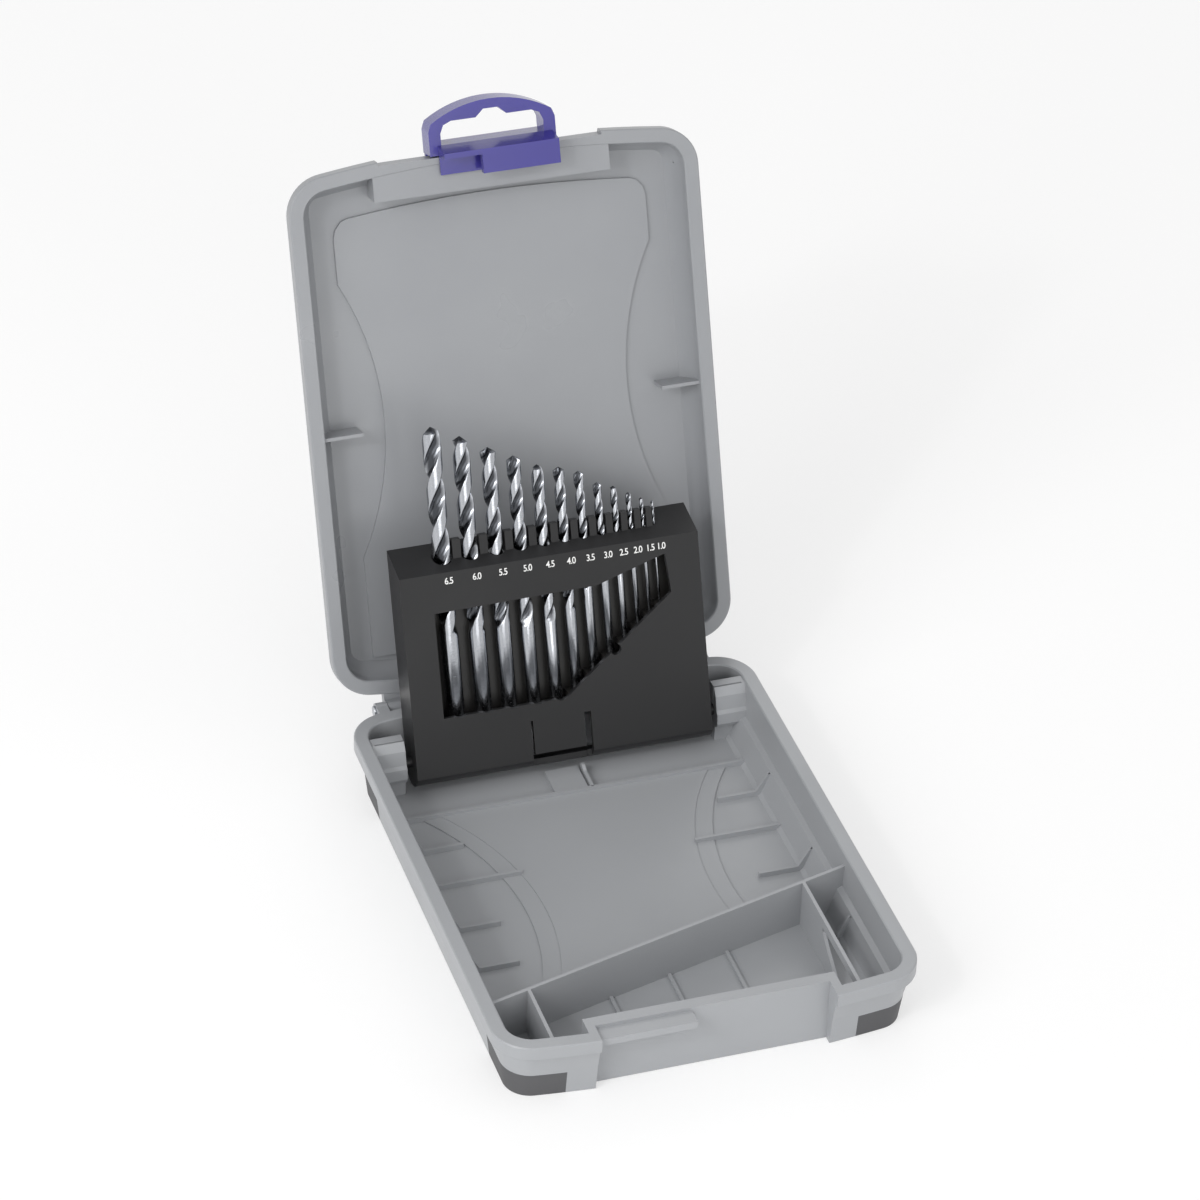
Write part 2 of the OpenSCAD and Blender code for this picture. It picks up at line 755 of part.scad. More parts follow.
// Arch, sloped web, cover under the rim, hook for the ledge and tongue in the groove
module latch_handle() {
    opening_y = front_y - opening_out;
    slope_y = opening_y + 1.6;
    plate_y = front_y + recess_d - slide_gap;
    color("#6058ad", 0.85)
        opened()
            translate([handle_x, 0, 0]) {
                translate([0, 0, lid_z])
                    linear_extrude(handle_t)
                        arch_outline();
                side_prism(web_left, web_right, [[opening_y, lid_z + bite], [slope_y, hook_low],
                    [web_y, hook_low], [web_y, lid_z + bite]]);
                span([web_left, web_y - bite, cover_low], [web_right, plate_y, lid_z - seam_gap]);
                span([web_right - hook_w, web_y - bite, hook_low], [web_right, plate_y, hook_low + hook_t]);
                span([-handle_w / 2, web_y - bite, tongue_z],
                    [handle_w / 2, web_y + tongue_d, tongue_z + tongue_t]);
            }
}

// Carries the holder's own frame: X across, Y behind the front plate, Z up the plate
module raised() {
    translate([0, pivot_y, pivot_z])
        rotate([90 - open_angle, 0, 0])
            translate([0, -pivot_o, -pivot_u])
                children();
}

// Window in the front plate: a sill that follows the seats, scalloped where it is level
shelf_slope = shelf_rise / holder_d;
shelf_u = holder_h + drill_o * shelf_slope;
level_count = 5;
notch_at = 7;
notch_r = 2;
module window() {
    translate([0, holder_t + 1, 0])
        rotate([90, 0, 0])
            linear_extrude(holder_t + 2) {
                polygon([[window_left, seat_u + sill], [seat_bend - 2, seat_u + sill],
                    [window_right, seat(window_right) + sill], [window_right - 1.2, holder_h - 6],
                    [16, holder_h - 13.4], [window_left, holder_h - 14]]);
                for (i = [0:level_count - 1])
                    translate([drill_x(i), seat_u + sill + drill_d(i) / 2])
                        circle(drill_d(i) / 2 + 0.6);
                translate([drill_x(notch_at), seat(drill_x(notch_at)) + sill + 0.5])
                    circle(notch_r);
            }
}

// Side outline of the holder, round its pivot at the foot and flat in front
module foot_outline(r, front) {
    intersection() {
        translate([pivot_o, pivot_u])
            circle(r);
        translate([front, pivot_u - 2 * r])
            square([holder_d - front, 4 * r]);
    }
}

module flange_outline() {
    foot_outline(foot_r, 0);
    polygon([[0, pivot_u], [0, holder_h], [holder_d, holder_h + shelf_rise], [holder_d, pivot_u]]);
}

module flange(x0, x1) {
    translate([x0, 0, 0])
        rotate([90, 0, 90])
            linear_extrude(x1 - x0)
                flange_outline();
}

module holder_body() {
    half = holder_w / 2;
    color("#3e3e3e")
        raised()
            difference() {
                union() {
                    difference() {
                        flange(-half, half);
                        translate([-half + holder_t, 0, 0])
                            rotate([90, 0, 90])
                                linear_extrude(holder_w - 2 * holder_t) {
                                    foot_outline(foot_r - holder_t, holder_t);
                                    polygon([[holder_t, pivot_u - 1],
                                        [holder_t, holder_h - holder_t + holder_t * shelf_slope],
                                        [holder_d + 1, holder_h + shelf_rise - holder_t + shelf_slope],
                                        [holder_d + 1, -5], [pivot_o + 3, -5], [pivot_o + 3, pivot_u]]);
                                }
                    }
                    for (side = [0, 1])
                        mirror([side, 0, 0])
                            bar(half - holder_t, half + post_gap + stub_in, pivot_o, pivot_u, pivot_d / 2);
                    for (i = [1:drill_count - 1])
                        span([bay_left(i) - 0.4 * drill_gap(i), drill_o - tab_t / 2, shelf_u - 1],
                            [bay_left(i) + 0.4 * drill_gap(i), drill_o + tab_t / 2, shelf_u + tab_h]);
                }
                window();
                for (i = [0:drill_count - 1])
                    translate([drill_x(i), drill_o, holder_h - 10])
                        cylinder(d = drill_d(i) + 2 * drill_clear, h = 30);
                span([clip_left, -1, -through], [clip_right, holder_t + 1, clip_notch]);
                span([clip_left - clip_slit, -1, -through], [clip_left, holder_t + 0.6, clip_h]);
                span([clip_right - clip_slit, -1, -through],
                    [clip_right + 2 * clip_slit, holder_t + 0.6, clip_h]);
            }
}

// Edges of drill i's own bay, half way to its neighbours
function bay_left(i) = i == 0 ? window_left - 3
    : (drill_x(i - 1) + drill_d(i - 1) / 2 + drill_x(i) - drill_d(i) / 2) / 2;
function bay_right(i) = i == drill_count - 1 ? window_right + 3 : bay_left(i + 1);

// Inner rack: rear web, a seat step under each drill and the drilled grip bar
module holder_insert() {
    back = holder_d - rack_in;
    side = holder_w / 2 - holder_t - rack_gap;
    color("#2b2b2c")
        raised()
            difference() {
                union() {
                    for (i = [0:drill_count - 1])
                        span([bay_left(i) - eps, holder_t + rack_gap, seat(drill_x(i)) - seat_t],
                            [bay_right(i) + eps, back, seat(drill_x(i)) - eps]);
                    span([-side, back - rack_t, seat_u - 6], [side, back, holder_h - holder_t - rack_gap]);
                    span([-side, holder_t + rack_gap, holder_h - 5],
                        [side, back, holder_h - holder_t - rack_gap]);
                }
                for (i = [0:drill_count - 1])
                    translate([drill_x(i), drill_o, holder_h - 10])
                        cylinder(d = drill_d(i) + drill_clear, h = 30);
            }
}

module size_labels() {
    color("#f2f2f0")
        raised()
            for (i = [0:drill_count - 1])
                span([drill_x(i) - label_w / 2, -0.3, holder_h - 4.4],
                    [drill_x(i) + label_w / 2, 0, holder_h - 2]);
}

// Twist drill: plain shank, two helical flutes and a conical point
module drill(i) {
    r = drill_d(i) / 2;
    point = r * 0.6;
    flute = drill_l[i] - shank_l[i] - point;
    pitch = 5.4 * drill_d(i);
    slices = ceil(9 * flute / pitch);
    color("#b9bcc0")
        raised()
            translate([drill_x(i), drill_o, seat(drill_x(i))]) {
                cylinder(r = r, h = shank_l[i]);
                translate([0, 0, shank_l[i] - 0.01])
                    linear_extrude(flute + 0.01, twist = -360 * flute / pitch, slices = slices, segments = 8)
                        difference() {
                            circle(r * 0.98, $fn = 16);
                            for (a = [0, 180])
                                rotate(a)
                                    translate([r * 0.86, 0])
                                        circle(r * 0.6, $fn = 14);
                        }
                translate([0, 0, drill_l[i] - point - 0.01])
                    cylinder(r1 = r * 0.62, r2 = 0.02, h = point);
            }
}

base_tray();
foot_front_left();
foot_front_right();
foot_rear_left();
foot_rear_right();
hinge_pin_left();
hinge_pin_right();
lid();
latch_handle();
holder_body();
holder_insert();
size_labels();
drill(0);  // drill_6_5
drill(1);  // drill_6_0
drill(2);  // drill_5_5
drill(3);  // drill_5_0
drill(4);  // drill_4_5
drill(5);  // drill_4_0
drill(6);  // drill_3_5
drill(7);  // drill_3_0
drill(8);  // drill_2_5
drill(9);  // drill_2_0
drill(10);  // drill_1_5
drill(11);  // drill_1_0
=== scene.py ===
"""Looks of the drill bit case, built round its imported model.

The tray, its feet, the lid, the latch and the holder are softened copies of
the solids, the drills and the size figures are modelled here, and every
surface gets its own moulded, ground or printed finish.
"""
import json
import logging
import math
from dataclasses import dataclass, field
from enum import Enum

import bmesh
import bpy
from mathutils import Matrix, Vector

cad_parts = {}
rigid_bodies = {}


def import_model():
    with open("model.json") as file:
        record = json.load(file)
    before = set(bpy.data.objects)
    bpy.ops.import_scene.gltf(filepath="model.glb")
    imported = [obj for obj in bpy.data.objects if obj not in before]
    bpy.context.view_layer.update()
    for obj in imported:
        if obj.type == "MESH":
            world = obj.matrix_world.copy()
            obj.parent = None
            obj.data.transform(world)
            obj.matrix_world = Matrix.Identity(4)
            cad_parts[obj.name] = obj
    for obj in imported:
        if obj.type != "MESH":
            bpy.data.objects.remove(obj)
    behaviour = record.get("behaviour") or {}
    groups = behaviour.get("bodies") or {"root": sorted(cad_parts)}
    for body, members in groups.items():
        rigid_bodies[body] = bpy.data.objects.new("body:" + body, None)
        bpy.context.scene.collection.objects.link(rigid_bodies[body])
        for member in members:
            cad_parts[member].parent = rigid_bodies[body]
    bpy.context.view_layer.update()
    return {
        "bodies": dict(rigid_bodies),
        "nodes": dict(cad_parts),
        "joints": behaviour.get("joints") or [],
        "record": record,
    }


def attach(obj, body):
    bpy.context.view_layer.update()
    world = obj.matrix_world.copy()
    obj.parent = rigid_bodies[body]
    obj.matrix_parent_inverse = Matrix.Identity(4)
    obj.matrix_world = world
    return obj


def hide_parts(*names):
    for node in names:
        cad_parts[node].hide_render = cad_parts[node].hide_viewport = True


LOG = logging.getLogger("drill_bit_case")
MM = 0.001
# the middle part of a noise's range, over which roughness drifts
NOISE_LOW = 0.3
NOISE_HIGH = 0.7
# mixed colours sit in these sockets of a Mix node
MIX_A = 6
MIX_B = 7
MIX_OUT = 2
# faces that differ by less than this, in degrees, are one flat face
FLAT_ANGLE = 0.1
# how strongly the broad faces rule the shading, in percent
BROAD_WEIGHT = 90
# an end face of a blank points this straight along its axis
END_FACING = 0.99


# ---------------------------------------------------------------- finishes


def linear(hex_colour: str) -> tuple[float, float, float, float]:
    """Turns an sRGB hex colour into linear RGBA.

    Args:
        hex_colour: six hex digits, such as "9a9c9f".

    Returns:
        Linear red, green, blue and an alpha of 1.
    """
    parts = [int(hex_colour[i:i + 2], 16) / 255 for i in (0, 2, 4)]
    flat = [p / 12.92 if p <= 0.04045 else ((p + 0.055) / 1.055) ** 2.4 for p in parts]
    return (flat[0], flat[1], flat[2], 1.0)


class Bsdf(Enum):
    """Sockets of the Principled shader that the finishes set."""

    COLOUR = "Base Color"
    METALLIC = "Metallic"
    ROUGHNESS = "Roughness"
    IOR = "IOR"
    NORMAL = "Normal"
    TRANSMISSION = "Transmission Weight"
    COAT = "Coat Weight"
    COAT_ROUGHNESS = "Coat Roughness"


def add_node(tree: bpy.types.NodeTree, kind: str, settings: dict, links: dict) -> bpy.types.Node:
    """Adds one node, sets its properties and inputs, and links into it.

    Args:
        tree: the material's node tree.
        kind: the node's type name.
        settings: property names, or input names and indices, with values.
        links: input names or indices with the sockets that feed them.

    Returns:
        The new node.
    """
    made = tree.nodes.new(kind)
    for key, value in settings.items():
        if isinstance(key, str) and hasattr(made, key):
            setattr(made, key, value)
        else:
            made.inputs[key].default_value = value
    for key, socket in links.items():
        tree.links.new(socket, made.inputs[key])
    return made


@dataclass(frozen=True)
class Moulded:
    """A moulded plastic: two close tones, a fine skin and soft wear."""

    name: str
    tone: str
    shade: str
    roughness: float
    grain_mm: float = 0.5
    grain_depth: float = 0.06
    grain_height_mm: float = 0.1
    cloud_mm: float = 40.0
    duller: float = 0.07
    glossier: float = 0.05
    sockets: tuple[tuple[Bsdf, float], ...] = ()

    def material(self) -> bpy.types.Material:
        """Builds the node material.

        Returns:
            The material, named for the plastic and its moulding.
        """
        made = bpy.data.materials.new(self.name)
        made.use_nodes = True
        tree = made.node_tree
        shader = tree.nodes["Principled BSDF"]
        shader.inputs[Bsdf.ROUGHNESS.value].default_value = self.roughness
        for socket, value in self.sockets:
            shader.inputs[socket.value].default_value = value
        place = add_node(tree, "ShaderNodeTexCoord", {}, {}).outputs["Object"]
        # slow drift of tone, as the melt cools unevenly in the mould
        cloud = add_node(tree, "ShaderNodeTexNoise",
                         {"Scale": 1 / (self.cloud_mm * MM), "Detail": 3.0, "Roughness": 0.5},
                         {"Vector": place})
        tone = add_node(tree, "ShaderNodeMix",
                        {"data_type": "RGBA", MIX_A: linear(self.tone), MIX_B: linear(self.shade)},
                        {0: cloud.outputs["Fac"]})
        tree.links.new(tone.outputs[MIX_OUT], shader.inputs[Bsdf.COLOUR.value])
        # the mould's spark-eroded skin, drawn coarser than life so that it shows
        grain = add_node(tree, "ShaderNodeTexNoise",
                         {"Scale": 1 / (self.grain_mm * MM), "Detail": 2.0},
                         {"Vector": place})
        rough = add_node(tree, "ShaderNodeMapRange",
                         {"From Min": NOISE_LOW, "From Max": NOISE_HIGH,
                          "To Min": self.roughness - self.glossier,
                          "To Max": self.roughness + self.duller},
                         {"Value": cloud.outputs["Fac"]})
        tree.links.new(rough.outputs["Result"], shader.inputs[Bsdf.ROUGHNESS.value])
        bump = add_node(tree, "ShaderNodeBump",
                        {"Strength": self.grain_depth, "Distance": self.grain_height_mm * MM},
                        {"Height": grain.outputs["Fac"]})
        tree.links.new(bump.outputs["Normal"], shader.inputs[Bsdf.NORMAL.value])
        return made


@dataclass(frozen=True)
class Ground:
    """A ground or turned steel with fine marks round or along the piece."""

    name: str
    tone: str
    shade: str
    roughness: float
    mark_mm: float = 0.25
    mark_depth: float = 0.08
    mark_height_mm: float = 0.05
    drawn_out: float = 0.15
    duller: float = 0.1
    glossier: float = 0.06
    flute_starts: float = 0.05
    flute_full: float = 0.5
    # painted shade for the flutes' hollows, mixed with their own darker milled tone
    flute_tone_and_shade: str = ""

    def material(self) -> bpy.types.Material:
        """Builds the node material.

        Returns:
            The material, named for the steel and its grinding.
        """
        made = bpy.data.materials.new(self.name)
        made.use_nodes = True
        tree = made.node_tree
        shader = tree.nodes["Principled BSDF"]
        shader.inputs[Bsdf.METALLIC.value].default_value = 1.0
        place = add_node(tree, "ShaderNodeTexCoord", {}, {}).outputs["Object"]
        # grinding marks lie across the length, so they are drawn out along X
        drawn = add_node(tree, "ShaderNodeMapping", {"Scale": (self.drawn_out, 1.0, 1.0)},
                         {"Vector": place})
        marks = add_node(tree, "ShaderNodeTexNoise",
                         {"Scale": 1 / (self.mark_mm * MM), "Detail": 3.0},
                         {"Vector": drawn.outputs["Vector"]})
        tone = add_node(tree, "ShaderNodeMix",
                        {"data_type": "RGBA", MIX_A: linear(self.tone), MIX_B: linear(self.shade)},
                        {0: marks.outputs["Fac"]})
        if self.flute_tone_and_shade:
            # painted shade: the flutes darken with their depth, partly the milled flutes' own darker
            # tone, partly painted shade in the hollows
            depth = add_node(tree, "ShaderNodeAttribute", {"attribute_name": "flute_depth"}, {})
            share = add_node(tree, "ShaderNodeMapRange",
                             {"From Min": self.flute_starts, "From Max": self.flute_full},
                             {"Value": depth.outputs["Fac"]})
            tone = add_node(tree, "ShaderNodeMix", {"data_type": "RGBA", MIX_B: linear(self.flute_tone_and_shade)},
                            {0: share.outputs["Result"], MIX_A: tone.outputs[MIX_OUT]})
        tree.links.new(tone.outputs[MIX_OUT], shader.inputs[Bsdf.COLOUR.value])
        rough = add_node(tree, "ShaderNodeMapRange",
                         {"From Min": NOISE_LOW, "From Max": NOISE_HIGH,
                          "To Min": self.roughness - self.glossier,
                          "To Max": self.roughness + self.duller},
                         {"Value": marks.outputs["Fac"]})
        tree.links.new(rough.outputs["Result"], shader.inputs[Bsdf.ROUGHNESS.value])
        bump = add_node(tree, "ShaderNodeBump",
                        {"Strength": self.mark_depth, "Distance": self.mark_height_mm * MM},
                        {"Height": marks.outputs["Fac"]})
        tree.links.new(bump.outputs["Normal"], shader.inputs[Bsdf.NORMAL.value])
        return made


class Finish(Enum):
    """Every finish of the case, named for the real material."""

    # satin polypropylene: soft broad highlights on a light cool grey
    TRAY = Moulded("polypropylene_moulded_grey", "a1a3a6", "999b9e", 0.36)
    # the lid's clearer grade lets a little light through and shines more
    LID = Moulded("polypropylene_smoke_translucent", "989a9d", "909296", 0.32, grain_depth=0.02,
                  sockets=((Bsdf.TRANSMISSION, 0.06),))
    # soft overmoulded rubber: dark, dull, no clear highlight
    FOOT = Moulded("thermoplastic_rubber_moulded_dark", "545456", "4c4c4e", 0.62, grain_depth=0.12)
    # clear-tinted polycarbonate: deep violet with bright edges
    LATCH = Moulded("polycarbonate_tinted_violet", "4741a0", "3c3690", 0.2, grain_depth=0.02,
                    sockets=((Bsdf.TRANSMISSION, 0.3), (Bsdf.COAT, 0.3), (Bsdf.COAT_ROUGHNESS, 0.1)))
    # black ABS: satin, its edges catch a thin line of light
    HOLDER = Moulded("abs_moulded_black", "242425", "1f1f20", 0.36, grain_depth=0.04,
                     sockets=((Bsdf.IOR, 1.38),))
    RACK = Moulded("abs_moulded_black_inner", "2a2927", "242322", 0.42)
    # pad-printed white ink, flat and dense
    LABEL = Moulded("ink_pad_printed_white", "f4f4f2", "ececea", 0.5, grain_depth=0.02)
    # bright-ground high speed steel: light lands, flutes darkened partly by their milled tone and
    # partly by painted shade, sharp reflections
    DRILL = Ground("high_speed_steel_ground", "c2c4c8", "9a9da3", 0.18, flute_tone_and_shade="4a4c50")
    PIN = Ground("carbon_steel_drawn", "c4c7cb", "acafb4", 0.28)


class Wardrobe:
    """Makes each finish's material once."""

    def __init__(self) -> None:
        """Starts with nothing made."""
        self.made: dict[str, bpy.types.Material] = {}

    def dress(self, piece: bpy.types.Object, finish: Finish) -> None:
        """Gives a piece one finish all over.

        Args:
            piece: the mesh object.
            finish: the finish to use.
        """
        if finish.name not in self.made:
            self.made[finish.name] = finish.value.material()
        piece.data.materials.clear()
        piece.data.materials.append(self.made[finish.name])


# ---------------------------------------------------------------- modelling


def alone(piece: bpy.types.Object) -> None:
    """Deselects everything else and makes a piece active.

    Args:
        piece: the object to select.
    """
    if bpy.context.object and bpy.context.object.mode != "OBJECT":
        bpy.ops.object.mode_set(mode="OBJECT")
    bpy.ops.object.select_all(action="DESELECT")
    piece.select_set(True)
    bpy.context.view_layer.objects.active = piece


def bevel(piece: bpy.types.Object, width: float, segments: int = 2, angle: float = 32.0) -> None:
    """Rounds a piece's sharp edges and applies the modifier.

    Args:
        piece: the mesh object.
        width: the round's width in millimetres.
        segments: faces across the round.
        angle: edges sharper than this, in degrees, are rounded.
    """
    alone(piece)
    made = piece.modifiers.new("soft_edges", "BEVEL")
    made.width = width * MM
    made.segments = segments
    made.limit_method = "ANGLE"
    made.angle_limit = math.radians(angle)
    made.use_clamp_overlap = True
    bpy.ops.object.modifier_apply(modifier=made.name)


def settle(piece: bpy.types.Object, place: Matrix | None = None, smooth: float = 35.0) -> None:
    """Moves a finished mesh to its place and smooths it.

    Args:
        piece: the mesh object, which ends at the origin, unturned.
        place: its place in the row frame.
        smooth: edges flatter than this, in degrees, shade smoothly.
    """
    piece.data.transform((place or Matrix()) @ piece.matrix_world)
    piece.matrix_world = Matrix()
    alone(piece)
    bpy.ops.object.shade_smooth_by_angle(angle=math.radians(smooth))


def even_shading(piece: bpy.types.Object) -> None:
    """Lets the broad faces set the shading of the rounds between them.

    Args:
        piece: the mesh object, smooth by angle already.
    """
    alone(piece)
    made = piece.modifiers.new("broad_faces", "WEIGHTED_NORMAL")
    made.mode = "FACE_AREA"
    made.weight = BROAD_WEIGHT
    made.keep_sharp = True
    bpy.ops.object.modifier_apply(modifier=made.name)


@dataclass
class Workshop:
    """Holds the frame and fits pieces to its nodes and bodies."""

    frame: dict
    wardrobe: Wardrobe = field(default_factory=Wardrobe)

    def softened(self, node: str, body: str, finish: Finish, slot: str, width: float,
                 merge: float = 0.05) -> bpy.types.Object:
        """Stands a copy of a node with rounded edges in the node's place.

        Args:
            node: the CAD node's name.
            body: the body that the piece rides on.
            finish: its finish.
            slot: the record's material slot, passed on to finish; not used.
            width: the edge round in millimetres.
            merge: points nearer than this, in millimetres, become one.

        Returns:
            The new piece.
        """
        source = self.frame["nodes"][node]
        piece = bpy.data.objects.new(f"{node}_soft", source.data.copy())
        bpy.context.scene.collection.objects.link(piece)
        alone(piece)
        bpy.ops.object.mode_set(mode="EDIT")
        bpy.ops.mesh.select_all(action="SELECT")
        bpy.ops.mesh.remove_doubles(threshold=merge * MM)
        bpy.ops.mesh.dissolve_degenerate(threshold=merge * MM)
        bpy.ops.mesh.dissolve_limited(angle_limit=math.radians(FLAT_ANGLE))
        bpy.ops.object.mode_set(mode="OBJECT")
        if width:
            bevel(piece, width)
        settle(piece)
        even_shading(piece)
        self.finish(piece, body, finish, slot)
        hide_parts(node)
        return piece

    def finish(self, piece: bpy.types.Object, body: str, finish: Finish, slot: str) -> None:
        """Dresses a piece, sets it on its body and reports it.

        Args:
            piece: the mesh object.
            body: the body that it rides on.
            finish: its finish.
            slot: the record's material slot; not used.
        """
        self.wardrobe.dress(piece, finish)
        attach(piece, body)
        LOG.info("%s: %d faces on %s", piece.name, len(piece.data.polygons), body)


@dataclass
class Case:
    """The tray with its feet and pins, the lid and the latch."""

    tray_edge: float = 0.5
    lid_edge: float = 0.8
    latch_edge: float = 0.7
    foot_edge: float = 0.25
    pin_edge: float = 0.15

    def build(self, shop: Workshop) -> None:
        """Makes and dresses the case's own pieces.

        Args:
            shop: the workshop that holds the frame.
        """
        shop.softened("base_tray", "tray", Finish.TRAY, "tray_grey", self.tray_edge)
        for end in ("front", "rear"):
            for side in ("left", "right"):
                shop.softened(f"foot_{end}_{side}", "tray", Finish.FOOT, "foot_grey", self.foot_edge)
        for side in ("left", "right"):
            shop.softened(f"hinge_pin_{side}", "tray", Finish.PIN, "pin_steel", self.pin_edge)
        shop.softened("lid", "lid", Finish.LID, "lid_grey", self.lid_edge)
        shop.softened("latch_handle", "latch", Finish.LATCH, "latch_violet", self.latch_edge)


@dataclass
class Holder:
    """The drill holder, its rack, the size figures and the drills."""

    pivot: tuple[float, float] = (75.8, 13.5)
    pivot_local: tuple[float, float] = (7.3, 5.0)
    lean: float = -20.0
    first_x: float = -36.3
    first_d: float = 6.5
    step: float = 0.5
    gap: float = 3.75
    gap_drop: float = 0.11
    drill_o: float = 7.0
    seat_u: float = 17.9
    seat_end_u: float = 47.6
    bend_drill: int = 5
    bend_back: float = 3.6
    plate_h: float = 72.5
    plate_edge: float = 0.25
    rack_edge: float = 0.15
    figure_size: float = 3.3
    figure_down: float = 3.2
    figure_bold: float = 0.03
    figure_thick: float = 0.03
    figure_proud: float = 0.02
    figure_narrow: float = 0.86
    figure_spacing: float = 0.92
    lengths: tuple[float, ...] = (104.4, 99.6, 94.2, 89.8, 85.4, 80.4,
                                  72.1, 61.8, 54.9, 47.6, 41.3, 36.4)
    shanks: tuple[float, ...] = (30, 30, 30, 29, 29, 29, 30, 30, 29, 27, 24, 23)

    def place(self) -> Matrix:
        """Gives the holder's own frame in the row frame.

        Returns:
            The matrix from holder millimetres to metres in the row frame.
        """
        move = Matrix.Translation(Vector((0, self.pivot[0], self.pivot[1])) * MM)
        turn = Matrix.Rotation(math.radians(self.lean), 4, "X")
        back = Matrix.Translation(Vector((0, -self.pivot_local[0], -self.pivot_local[1])) * MM)
        return move @ turn @ back

    def diameter(self, i: int) -> float:
        """Gives a drill's diameter.

        Args:
            i: the drill's number, from 0.

        Returns:
            Its diameter in millimetres.
        """
        return self.first_d - i * self.step

    def x(self, i: int) -> float:
        """Gives a drill's place across the holder.

        Args:
            i: the drill's number, from 0.

        Returns:
            The x of its axis in millimetres.
        """
        place = self.first_x
        for k in range(1, i + 1):
            place += (self.diameter(k - 1) + self.diameter(k)) / 2 + self.gap - self.gap_drop * (k - 1)
        return place

    def seat(self, i: int) -> float:
        """Gives the height of a drill's seat, level first and then rising.

        Args:
            i: the drill's number, from 0.

        Returns:
            The height of its shank's end in the holder, in millimetres.
        """
        bend = self.x(self.bend_drill) - self.bend_back
        if self.x(i) < bend:
            return self.seat_u
        last = self.x(len(self.lengths) - 1)
        return self.seat_u + (self.seat_end_u - self.seat_u) * (self.x(i) - bend) / (last - bend)

    def figure(self, i: int) -> bpy.types.Object:
        """Prints drill i's size under the edge of the front plate.

        Args:
            i: the drill's number, from 0.

        Returns:
            The figures as a mesh in the row frame.
        """
        bpy.ops.object.text_add()
        text = bpy.context.object
        text.data.body = f"{self.diameter(i):.1f}"
        text.data.size = self.figure_size * MM
        text.data.space_character = self.figure_spacing
        text.data.align_x = "CENTER"
        text.data.align_y = "CENTER"
        text.data.extrude = self.figure_thick * MM
        text.data.offset = self.figure_bold * MM
        text.scale = (self.figure_narrow, 1.0, 1.0)
        alone(text)
        bpy.ops.object.convert(target="MESH")
        piece = bpy.context.object
        stand = Matrix.Translation(
            Vector((self.x(i), -self.figure_proud, self.plate_h - self.figure_down)) * MM)
        settle(piece, self.place() @ stand @ Matrix.Rotation(math.pi / 2, 4, "X"))
        return piece

    def figures(self, shop: Workshop) -> None:
        """Prints the row of sizes, one piece in place of the plain labels.

        Args:
            shop: the workshop that holds the frame.
        """
        row = [self.figure(i) for i in range(len(self.lengths))]
        alone(row[0])
        for piece in row:
            piece.select_set(True)
        bpy.ops.object.join()
        printed = bpy.context.object
        printed.name = "size_figures_printed"
        shop.finish(printed, "holder", Finish.LABEL, "label_white")
        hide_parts("size_labels")

    def build(self, shop: Workshop) -> None:
        """Makes and dresses the holder and all that it carries.

        Args:
            shop: the workshop that holds the frame.
        """
        shop.softened("holder_body", "holder", Finish.HOLDER, "holder_black", self.plate_edge)
        shop.softened("holder_insert", "holder", Finish.RACK, "holder_black", self.rack_edge)
        self.figures(shop)
        for i, length in enumerate(self.lengths):
            drill = TwistDrill(self.diameter(i), length, self.shanks[i])
            drill.build(shop, self.place() @ Matrix.Translation(
                Vector((self.x(i), self.drill_o, self.seat(i))) * MM))


